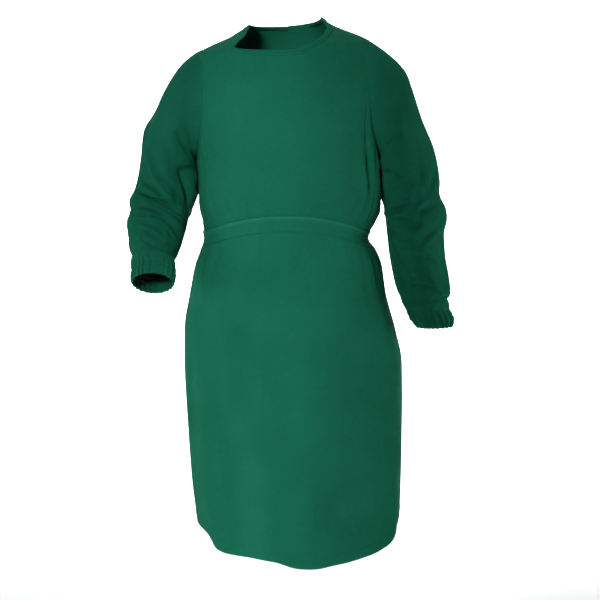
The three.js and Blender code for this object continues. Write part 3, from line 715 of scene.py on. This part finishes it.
def through(rings, knots, at):  # smooth surface through rings
    slope = np.gradient(rings, knots, axis=0)
    i = np.clip(np.searchsorted(knots, at) - 1, 0, len(knots) - 2)
    span = (knots[i + 1] - knots[i])[:, None, None]
    t = ((at - knots[i]) / (knots[i + 1] - knots[i]))[:, None, None]
    a, b, c, d = 2 * t**3 - 3 * t**2 + 1, t**3 - 2 * t**2 + t, 3 * t**2 - 2 * t**3, t**3 - t**2
    return a * rings[i] + b * span * slope[i] + c * rings[i + 1] + d * span * slope[i + 1]


def outwardNormals(points):
    around = (np.roll(points, -1, 1) - np.roll(points, 1, 1)) / 2
    normals = unit(np.cross(around, np.gradient(points, axis=0)))
    fromMiddle = points - points.mean(1, keepdims=True)
    return normals * np.sign(np.sum(normals * fromMiddle, -1).mean())


def pleatWave(turn, count, seed):  # uneven gathers
    draw = np.random.default_rng(seed)
    a, b, c = draw.uniform(0, 6.28, 3)
    wave = np.cos(count * turn + 1.0 * np.sin(3 * turn + a) + 0.6 * np.sin(5 * turn + b))
    return wave * (0.85 + 0.3 * np.sin(2 * turn + c))


def tubeUv(turn, v, girth):
    return np.stack(np.broadcast_arrays(turn[None] / (2 * np.pi) * girth, v[:, None]), -1)


def sideOf(points, side):  # where the body's side stands beside a point
    y, z = points[..., 1], points[..., 2]
    right, left, square = rightAt(z), leftAt(z), squareAt(z)
    depth = np.where(y < 0, frontAt(z), backAt(z))
    out = (1 - np.clip(np.abs(y) / depth, 0, 1) ** square) ** (1 / square)
    press = armPress(np.full(z.shape, 90.0 if side > 0 else 270.0), z)
    return (left + right) / 2 + side * ((left - right) / 2 * out - press + sleeveMesh["touchGap"])


def againstSide(points, degrees, ring, side):  # the inner side touches the body from the armpit down
    fromInner = np.minimum(degrees, 360 - degrees)
    start, end = smooth(ring, *sleeveMesh["againstFrom"]), smooth(ring, *sleeveMesh["againstTo"])
    hold = (1 - smooth(fromInner, *sleeveMesh["against"])) * start * (1 - end)
    return points[..., 0] + (sideOf(points, side) - points[..., 0]) * hold


# the sleeve is cut a little larger than the form and settles over an arm that is taken away again
settling = dict(frames=30, quality=5, growth=0.085, arm=0.80, bend=1.2, stretch=28, shear=9, mass=0.12,
                gravity=0.6, friction=12, distance=0.002, cap=13, heldTop=(6, 120), heldCuff=(26, 8),
                slackFrom=(50, 190), shownFrom=(90, 240))


def settle(points, length):
    scene = bpy.context.scene
    rows, cols = points.shape[:2]
    quads = gridQuads(rows, cols, True)
    cloth = addMesh("settling", points.reshape(-1, 3) * mm, quads)
    middle = points.mean(1, keepdims=True)
    inner = middle + (points - middle) * settling["arm"]
    arm = addMesh("arm", inner.reshape(-1, 3) * mm, quads)
    arm.modifiers.new("hit", "COLLISION")
    arm.collision.thickness_outer = settling["distance"]
    arm.collision.use_culling = False
    arm.collision.cloth_friction = settling["friction"]
    far, near = settling["heldCuff"]
    atCuff = smooth(length, length[-1] - far, length[-1] - near)
    hold = np.maximum(1 - smooth(length, *settling["heldTop"]), atCuff) ** 2
    loose = smooth(length, *settling["slackFrom"])
    pin, slack = (cloth.vertex_groups.new(name=name) for name in ("pin", "slack"))
    for row in range(rows):
        ring = list(range(row * cols, row * cols + cols))
        pin.add(ring, float(hold[row]), "REPLACE")
        slack.add(ring, float(loose[row]), "REPLACE")
    mod = cloth.modifiers.new("cloth", "CLOTH")
    sets = mod.settings
    sets.vertex_group_mass = "pin"
    sets.quality, sets.mass = settling["quality"], settling["mass"]
    sets.tension_stiffness = sets.compression_stiffness = settling["stretch"]
    sets.shear_stiffness, sets.bending_stiffness = settling["shear"], settling["bend"]
    sets.shrink_min, sets.shrink_max, sets.vertex_group_shrink = 0, -settling["growth"], "slack"
    sets.effector_weights.gravity = settling["gravity"]
    mod.collision_settings.distance_min = settling["distance"]
    mod.collision_settings.collision_quality = 2
    mod.point_cache.frame_start, mod.point_cache.frame_end = 1, settling["frames"]
    for step in range(1, settling["frames"] + 1):
        scene.frame_set(step)
    done = cloth.evaluated_get(bpy.context.evaluated_depsgraph_get())
    flat = np.empty(rows * cols * 3)
    done.data.vertices.foreach_get("co", flat)
    moved = flat.reshape(rows, cols, 3) / mm - points
    far = np.linalg.norm(moved, axis=-1, keepdims=True)
    print("settled: moved", round(float(far.mean()), 1), "mm, at most", round(float(far.max()), 1))
    for obj in (cloth, arm):
        bpy.data.objects.remove(obj)
    scene.frame_set(1)
    shown = smooth(length, *settling["shownFrom"])[:, None, None]
    return points + shown * moved / np.sqrt(1 + (far / settling["cap"]) ** 2)


def sleeveCloth(spec, turn):
    side, seed = spec["side"], spec["seed"]
    rings = ringPoints(ringFrames(spec["rows"] + spec["cuff"]), turn)[:len(spec["rows"])]
    coarse = join(armholeRing(side, turn)[None], rings)
    knots = ringKnots(coarse)
    end, numbers = knots[-1], range(len(knots))
    even = np.linspace(sleeveMesh["firstRing"], end, int(end / sleeveMesh["step"]))
    v = np.unique(join(sleeveMesh["nearSeam"], even))
    points = through(coarse, knots, v)
    degrees, length = np.broadcast_arrays(np.degrees(turn)[None], v[:, None])
    points[..., 0] = againstSide(points, degrees, np.interp(length, knots, numbers), side)
    normals = outwardNormals(points)
    creases = [(a, np.interp(b, numbers, knots), c, np.interp(d, numbers, knots), *shape)
               for a, b, c, d, *shape in spec["creases"]]
    height = strokes(degrees, length, creases, sleeveMesh["perDegree"], wrap=360.0)
    height = height * sleeveMesh["creaseDepth"]
    fade = smooth(length, *sleeveMesh["creaseFrom"])
    fade = fade * (1 - smooth(length, end - sleeveMesh["creaseStop"], end))
    wrapU = np.cos(np.radians(degrees)) * sleeveMesh["evenRound"]
    uneven = softNoise(wrapU, length, sleeveMesh["evenWave"], seed)
    height = height * fade + sleeveMesh["evenness"] * uneven * fade
    height -= seams["groove"] * bell(length, 0, seams["reach"])
    toCuff = smooth(length, end - sleeveMesh["pleatReach"], end)
    height += sleeveMesh["pleatHeight"] * toCuff * pleatWave(turn, sleeveMesh["pleats"], seed)[None]
    height -= sleeveMesh["cuffGroove"] * bell(end - length, 0, sleeveMesh["cuffReach"])
    points = settle(points + normals * height[..., None], v)
    # nothing above the armpit goes into the body
    x = side * points[..., 0]
    low, high = (form["armpit"] + z for z in sleeveMesh["clearBelow"])
    clear = 1 - smooth(points[..., 2], low, high)
    points[..., 0] += side * (np.maximum(x, side * sideOf(points, side)) - x) * clear
    return points, v


def makeSleeve(word, spec):
    turn = np.linspace(0, 2 * np.pi, sleeveMesh["turns"], endpoint=False)
    points, v = sleeveCloth(spec, turn)
    normals = outwardNormals(points)
    around = steps(closed(points), 1)[:, -1]
    area, cut = sheetArea(closed(points)), (float(around.max()), longest(points, 0))
    uv = tubeUv(turn, v, float(around.mean()))
    wearAndHighlight = wornEdges(v, v[-1] - v)[:, None]
    # the seam allowance turns in at the armhole and runs on under the panel's
    radial = points[:1] - points[:1].mean(1, keepdims=True)
    radial[..., 0] = 0
    deep, under = seams["underlap"]
    inner = [points[:1] - unit(radial) * deep - np.array([spec["side"] * under, 0, 0])]
    inner += [points[:1] - unit(radial) * depth for depth in seams["allowance"][::-1]]
    onward = unit((points[-1] - points[-4]).mean(0))
    tucked = [points[-1:] - normals[-1:] * deep + onward * far for deep, far in sleeveMesh["tucked"]]

    def lengthen(grid):
        return np.concatenate([grid[:1]] * len(inner) + [grid] + [grid[-1:]] * len(tucked))
    obj = makeSheet("sleeve" + word, np.concatenate(inner + [points] + tucked), lengthen(uv),
                    lengthen(wearAndHighlight), clothMat, "sleeve_" + word.lower(), lengthen(normals), tube=True,
                    foldRows=(len(inner), len(inner) + len(points) - 1))
    stateCut(obj, cut, area)


# cuffs: gathered over two rows of elastic, given as shares of the length
cuffs = dict(turns=280, rows=30, gathers=[0.8, 1.6, 2.0, 2.0], waves=((22, 0.75), (37, 0.25)),
             elastic=(0.34375, 0.65625), pinch=1.0, pinchWide=2.2, pinchCalm=0.35, lip=0.6, lipFrom=6,
             groove=0.5, grooveWide=2.5, wall=1.2, ease=0.4, turnUp=12, thick=0.8, fullness=1.12,
             wornEdge=4, wornSeam=3, wornSeamShare=0.3)


def makeCuff(word, spec, seed):
    turn = np.linspace(0, 2 * np.pi, cuffs["turns"], endpoint=False)
    coarse = ringPoints(ringFrames(spec["rows"] + spec["cuff"]), turn)[len(spec["rows"]) - 1:]
    knots = ringKnots(coarse)
    end = knots[-1]
    v = np.linspace(0, end, cuffs["rows"])
    points = through(coarse, knots, v)
    normals = outwardNormals(points)
    amount = np.interp(v, knots, cuffs["gathers"])
    wave = sum(pleatWave(turn, count, seed + i) * share
               for i, (count, share) in enumerate(cuffs["waves"]))
    pinch = sum(bell(v, share * end, cuffs["pinchWide"]) for share in cuffs["elastic"])
    height = amount[:, None] * wave * (1 - cuffs["pinchCalm"] * pinch)[:, None]
    height -= cuffs["pinch"] * pinch[:, None]
    lip = cuffs["lip"] * smooth(v, end - cuffs["lipFrom"], end)
    height += (lip - cuffs["groove"] * bell(v, 0, cuffs["grooveWide"]))[:, None]
    points = points + normals * height[..., None]
    girth, area = longest(closed(points), 1), sheetArea(closed(points))
    uv = tubeUv(turn, v, girth)
    wearAndHighlight = cuffs["wornSeamShare"] * np.exp(-v / cuffs["wornSeam"])
    wearAndHighlight = (np.exp(-(end - v) / cuffs["wornEdge"]) + wearAndHighlight)[:, None]
    sewn = [np.argmin(np.abs(v - share * end)) for share in cuffs["elastic"]]
    lines = [(points[row], normals[row]) for row in sewn]
    # the edge is turned up inside
    k = int(np.argmin(np.abs(v - (end - cuffs["turnUp"]))))
    edge = points[-1:] - normals[-1:] * cuffs["wall"]
    inside = points[k:k + 1] - normals[k:k + 1] * (cuffs["wall"] + cuffs["ease"])
    uv, normals = (join(grid, grid[-1:], grid[k:k + 1]) for grid in (uv, normals))
    obj = makeSheet("cuff" + word, join(points, edge, inside), uv,
                    join(wearAndHighlight, wearAndHighlight[-1:], wearAndHighlight[-1:]), clothMat, "cuff_" + word.lower(),
                    normals, tube=True, thick=cuffs["thick"])
    stitches = makeStitches("cuffStitch" + word, lines)
    cut = (girth, float(end) * cuffs["fullness"])
    stateCut(obj, cut, area)


for word, spec in sleeveSets.items():
    makeSleeve(word, spec)
    makeCuff(word, spec, spec["seed"] + 20)

# neck binding: a tape folded over the neck's edge
# profile: distance below the edge, height over the cloth, wear
binding = dict(columns=300, ripple=0.16, thick=0.6, stitch=(11.0, 1.4), probe=0.01,
               profile=[(12.2, 0.7, 0.2), (12.9, 0.8, 0.4), (13.0, 1.05, 0.4), (11, 1.35, 0.1),
                        (7, 1.7, 0), (3, 1.9, 0.1), (1.0, 1.7, 0.5), (0, 1.2, 0.9), (-0.6, 0.2, 0.9),
                        (-0.2, -1.1, 0.5), (1.5, -1.6, 0.1), (6, -1.7, 0), (10.5, -1.5, 0)])


def bindingLine(angle, down, high):
    turned = np.where(angle < -90, angle + 360, angle)
    edge, probe = neckEdgeAt(turned), binding["probe"]

    def levelOf(climb):
        return form["armpit"] + (edge - form["armpit"]) * climb
    rise = bodyForm(turned, levelOf(1.0)) - bodyForm(turned, levelOf(1 - probe))
    width = np.linalg.norm(rise, axis=-1)
    base = bodyForm(turned, levelOf(1 - probe * max(down, 0) / width))  # as wide all the way round
    normal = normalOf(bodyForm, turned, levelOf(1 - probe))
    lift = np.where(angle > 90, lapLift((180 - angle) / 90), 0)
    uneven = binding["ripple"] * softNoise(angle * 1.6, np.full_like(angle, down * 0.8), 11, 77)
    proud = (high + lift + uneven * (high > 0.5))[:, None]
    return base + unit(rise) * max(-down, 0) + normal * proud, normal


def makeBinding():
    angles = np.linspace(180, -180, binding["columns"])
    lines = [bindingLine(angles, down, high) for down, high, _ in binding["profile"]]
    points, normals = (np.stack(grids) for grids in zip(*lines))
    along, down = steps(points, 1), steps(points, 0)
    uv = np.stack([along + down, along - down], -1) * 0.707  # cut on the bias
    wearAndHighlight = np.array([row[2] for row in binding["profile"]], float)[:, None]
    tape = makeSheet("neckBinding", points, uv, wearAndHighlight, tapeMat, "neck_binding", normals,
                     thick=binding["thick"])
    stitches = makeStitches("neckStitch", [bindingLine(angles, *binding["stitch"])])
    cut = (longest(points, 0), longest(points, 1))
    stateCut(tape, cut, sheetArea(points))


makeBinding()

# knots: a pleated core where the band runs in from both sides, and a turn of band round it
knotSets = dict(
    belt=dict(node="belt_knot", wide=52, high=40, deep=24, rest=1.8, slot="cloth", band=24,
              level=form["waist"]),
    neck=dict(node="neck_tie_knot", wide=20, high=17, deep=12, rest=2.6, slot="tape", band=9,
              level=float(neckEdgeAt(180.0)) - 13),
)
knotForm = dict(rows=41, turns=72, bandRows=15, bandTurns=96, thick=0.7, thin=0.42, full=0.5, fall=2.6,
                coreHigh=0.9, coreDeep=0.86, roll=0.05, edge=0.16, slant=0.22, wearAndHighlight=0.7)


def makeKnot(name, spec, material, seed):
    level, angle = np.array([float(spec["level"])]), np.array([180.0])
    out = normalOf(bodyForm, angle, level)[0]
    side = np.array([-1.0, 0, 0])
    up = unit(np.cross(out, side))
    middle = bodyForm(angle, level)[0] + out * (lapLift(0.0) + spec["rest"] + spec["deep"] / 2)
    wide, high, deep = half = np.array([spec["wide"], spec["high"], spec["deep"]]) / 2

    def grid(rows, turns):
        return np.meshgrid(np.linspace(-1, 1, rows), np.linspace(0, 2 * np.pi, turns, endpoint=False),
                           indexing="ij")

    def put(name, x, y, z, uv, wearAndHighlight, node):
        points = middle + x[..., None] * side + y[..., None] * up + z[..., None] * out
        return makeSheet(name, points, np.stack(uv, -1), wearAndHighlight, material, node, unit(points - middle),
                         tube=True, thick=knotForm["thick"])
    t, s = grid(knotForm["rows"], knotForm["turns"])
    girth = knotForm["thin"] + knotForm["full"] * (1 - np.abs(t) ** knotForm["fall"])
    girth *= 1 + 0.07 * pleatWave(s + 0.5 * t, 7, seed) + 0.03 * pleatWave(s - 0.4 * t, 15, seed + 1)
    core = put(name, t * wide, girth * np.sin(s) * knotForm["coreHigh"] * high,
               girth * np.cos(s) * knotForm["coreDeep"] * deep, (t * wide, s * high), 0 * t, spec["node"])
    w, s = grid(knotForm["bandRows"], knotForm["bandTurns"])
    roll = 1.0 + knotForm["roll"] * np.cos(w * 9 + 1.4 * np.sin(s + 0.6))
    roll -= knotForm["edge"] * np.abs(w) ** 3
    flat = w * spec["band"] / 2
    x = flat * (0.82 + 0.18 * np.cos(s)) + knotForm["slant"] * wide * np.sin(s)
    band = put(name + "Wrap", x, high * roll * np.sin(s), deep * roll * np.cos(s), (flat, s * high),
               np.abs(w) ** 6 * knotForm["wearAndHighlight"], None)
    return [core, band]


beltKnot = makeKnot("beltKnot", knotSets["belt"], beltMat, 83)
neckKnot = makeKnot("neckKnot", knotSets["neck"], tapeMat, 89)

# belt: a doubled band, its long edges folded under
# profile: distance from the middle, height over the cloth, and the share of faded green: a little wear at
# the lower edge, a painted highlight along the top edge
belt = dict(step=3.2, halfRound=270, ripple=0.22, rippleFrom=1.4, drift=0.5, thick=0.5,
            stitchRows=(4, 6), stitchLift=0.05,
            profile=[(-14.5, 0.62, 0), (-16.4, 0.62, 0), (-17, 0.66, 0.1), (-15.8, 0.75, 0.1),
                     (-11, 1.1, 0), (0, 1.7, 0), (9, 2.4, 0.3), (13.4, 3.0, 1.5), (16.2, 2.6, 2.0),
                     (17, 1.3, 1.5), (14.5, 0.95, 0)],
            # node, face, from and to as shares of the half round, lift, seed
            bands=dict(beltFront=("belt_front", "front", -1, 1, noLift, 61),
                       beltTieLeft=("belt_tie_left", "back", 1 / 15, 1, lapLift, 67),
                       beltTieRight=("belt_tie_right", "back", -1, -1 / 15, noLift, 71)))


def makeBand(name, node, face, low, high, lift, seed):
    across = np.linspace(low, high, 2 + int(abs(high - low) * belt["halfRound"] / belt["step"]))
    angle = across * 90 if face == "front" else 180 - across * 90
    rows, ways = [], []
    for offset, tall, _ in belt["profile"]:
        level = np.full_like(angle, form["waist"] + offset)
        normal = normalOf(bodyForm, angle, level)
        uneven = belt["ripple"] * softNoise(angle * 3, level, 19, seed) * (tall > belt["rippleFrom"])
        drift = belt["drift"] * softNoise(angle * 3, level * 0, 120, seed + 1)
        rows.append(bodyForm(angle, level + drift) + normal * (tall + lift(across) + uneven)[:, None])
        ways.append(normal)
    points, normals = np.stack(rows), np.stack(ways)
    # the top rows get a painted highlight in the faded green, the lower edge a little wear
    wearAndHighlight = np.array([row[2] for row in belt["profile"]], float)[:, None]
    obj = makeSheet(name, points, gridUv(points), wearAndHighlight, beltMat, node, normals, thick=belt["thick"])
    lines = [(points[row], normals[row]) for row in belt["stitchRows"]]
    if face == "front":  # one row of stitches, lying a little higher
        lines = [(lines[0][0] + lines[0][1] * belt["stitchLift"], lines[0][1])]
    stitches = makeStitches(name + "Stitch", lines)
    cut = (longest(points, 0), longest(points, 1))
    stateCut(obj, cut, sheetArea(points))


for name, cutting in belt["bands"].items():
    makeBand(name, *cutting)

# tie ends: flat strips that hang from under a knot, a little curled along their edges
ends = dict(rows=70, columns=13, standOff=5.0, clear=0.4, settle=0.36, gather=0.55, curl=1.3, flatten=0.4,
            pleat=1.5, wave=1.2, hem=9, hemProud=0.35, usual=34, wearAndHighlight=0.7,
            # node, knot, start, splay, length, width, drop below the knot
            sets=dict(beltEndRight=("belt_end_right", "belt", -10, -34, 250, 34, 4.8),
                      beltEndLeft=("belt_end_left", "belt", 10, 40, 220, 34, 4.8),
                      neckEndRight=("neck_tie_end_right", "neck", -4.2, -16, 130, 13, 0),
                      neckEndLeft=("neck_tie_end_left", "neck", 4.2, 20, 115, 13, 0)))


def backAngle(x, level):
    right, left, square = rightAt(level), leftAt(level), squareAt(level)
    share = (2 * x - left - right) / (left - right)
    return 180 - np.degrees(np.arcsin(rounded(share, 4 / square)))


def makeEnd(name, node, which, startX, splay, length, width, below, seed):
    spec = knotSets[which]
    level, behind = np.array([float(spec["level"])]), np.array([180.0])
    steep = math.sqrt(1 - float(normalOf(bodyForm, behind, level)[0, 2]) ** 2)
    top = float(spec["level"]) - (spec["high"] / 2 + below) * steep
    share = np.linspace(0, 1, ends["rows"])[:, None]
    half = np.linspace(-1, 1, ends["columns"])[None]
    settled = smooth(share, 0, ends["settle"])
    stand = lapLift(0.0) + spec["rest"] + spec["deep"] / 2 * (1 - settled)
    stand = stand + (ends["standOff"] - spec["rest"]) * settled
    spread = ends["gather"] + (1 - ends["gather"]) * settled
    x = bodyForm(behind, level)[0, 0] + startX + splay * share + half * width * spread / 2
    down = np.broadcast_to(top - length * share, x.shape)
    angle = backAngle(x, down)
    normal = normalOf(bodyForm, angle, down)
    scale = width / ends["usual"]
    curl = ends["curl"] * scale * (half ** 2 - ends["flatten"])
    curl = curl + ends["pleat"] * (1 - settled) * scale * np.cos(half * 5.5)
    wave = ends["wave"] * np.sin(share * 7 + seed) * share
    wave += ends["hemProud"] * (share > 1 - ends["hem"] / length)
    points = bodyForm(angle, down) + normal * (stand + ends["clear"] + curl + wave)[..., None]
    obj = makeSheet(name, points, gridUv(points), np.abs(half) ** 8 * ends["wearAndHighlight"],
                    tapeMat if which == "neck" else beltMat, node, normal)
    lines = [(points[:, column], normal[:, column]) for column in (1, -2)]
    stitches = makeStitches(name + "Stitch", lines)
    cut = (longest(points, 1), longest(points, 0))
    stateCut(obj, cut, sheetArea(points))


for i, (name, spec) in enumerate(ends["sets"].items()):
    makeEnd(name, *spec, seed=i)
print("belt and ties made")

# studio, in metres
studio = dict(
    floor=-1.42, front=-1.3, bendFrom=2.6, bend=1.2, wall=6.0, side=2.1,
    white=(0.93, 0.93, 0.93), rough=0.9, world=0.018, surround=0.85,
    # name, place, aim, size, spread, watts
    lights=[("sideLeft", (-2.3, -0.15, -0.45), (-0.2, 0, -0.7), 0.9, 80, 4.4),
            ("sideRight", (2.3, -0.15, -0.35), (0.2, 0, -0.5), 0.9, 80, 4.2),
            ("backdropLeft", (-2.4, 0.9, 0.9), (-0.6, 3.6, -0.6), 2.0, 100, 120),
            ("backdropRight", (2.4, 0.9, 0.9), (0.6, 3.6, -0.6), 2.0, 100, 120),
            ("floorLight", (0, 2.0, 1.8), (0, 1.9, -1.4), 2.0, 100, 50),
            ("frontFloor", (0, -1.15, 0.9), (0, -1.15, -1.4), 1.2, 40, 3)],
    # tall narrow beams: name, place, aim, width as a share of the height, watts
    keys=[("keyWide", (-1.0, -2.9, 0.75), (-0.06, 0, -0.72), 0.215, 180),
          ("keyNarrow", (-0.7, -3.0, 0.6), (0.02, 0, -0.65), 0.16, 222)], cone=60, soft=0.18,
    camera=((0.031, -3.0, -0.05), (0.031, 0, -0.6)), lens=83.18, sensor=36)


def stand(name, data, place, at):  # puts a lamp or camera in place and aims it
    obj = bpy.data.objects.new(name, data)
    obj.location = place
    x, y, z = np.array(at, float) - np.array(obj.location)
    obj.rotation_euler = (math.atan2(math.hypot(x, y), -z), 0, math.atan2(-x, y))
    bpy.context.scene.collection.objects.link(obj)
    return obj


def makeFloor():  # it bends up into a wall behind
    start, bend = studio["bendFrom"], studio["bend"]
    run = [(studio["front"], 0.0)]
    run += [(start + bend * math.sin(a), bend - bend * math.cos(a))
            for a in np.linspace(0, np.pi / 2, 24)]
    run += [(start + bend, studio["wall"])]
    verts = [(x, y, studio["floor"] + z) for y, z in run for x in (-studio["side"], studio["side"])]
    faces = [(2 * i, 2 * i + 1, 2 * i + 3, 2 * i + 2) for i in range(len(run) - 1)]
    floor = addMesh("floor", np.array(verts), np.array(faces))
    mat = bpy.data.materials.new("paper")
    mat.use_nodes = True
    shader = mat.node_tree.nodes["Principled BSDF"]
    shader.inputs["Base Color"].default_value = (*studio["white"], 1)
    shader.inputs["Roughness"].default_value = studio["rough"]
    floor.data.materials.append(mat)


def makeWorld():  # a dim room whose walls look pale
    world = bpy.data.worlds.new("studio")
    world.use_nodes = True
    nodes, links = world.node_tree.nodes, world.node_tree.links
    room, walls = nodes["Background"], nodes.new("ShaderNodeBackground")
    seen, blend = nodes.new("ShaderNodeLightPath"), nodes.new("ShaderNodeMixShader")
    for shader, strength in ((room, studio["world"]), (walls, studio["surround"])):
        shader.inputs["Color"].default_value = (1, 1, 1, 1)
        shader.inputs["Strength"].default_value = strength
    links.new(seen.outputs["Is Camera Ray"], blend.inputs[0])
    links.new(room.outputs[0], blend.inputs[1])
    links.new(walls.outputs[0], blend.inputs[2])
    links.new(blend.outputs[0], nodes["World Output"].inputs["Surface"])
    bpy.context.scene.world = world


def makeStudio():
    makeFloor()
    for name, place, at, size, spread, watts in studio["lights"]:
        data = bpy.data.lights.new(name, "AREA")
        data.energy, data.size, data.spread = watts, size, math.radians(spread)
        stand(name, data, place, at)
    for name, place, at, narrow, watts in studio["keys"]:
        data = bpy.data.lights.new(name, "SPOT")
        data.energy, data.shadow_soft_size = watts, studio["soft"]
        data.spot_size, data.spot_blend = math.radians(studio["cone"]), 1
        stand(name, data, place, at).scale = (narrow, 1, 1)
    makeWorld()
    data = bpy.data.cameras.new("camera")
    data.lens, data.sensor_width, data.dof.use_dof = studio["lens"], studio["sensor"], False
    bpy.context.scene.camera = stand("camera", data, *studio["camera"])
    bpy.context.scene.view_settings.view_transform = "Standard"


makeStudio()
print("studio ready")
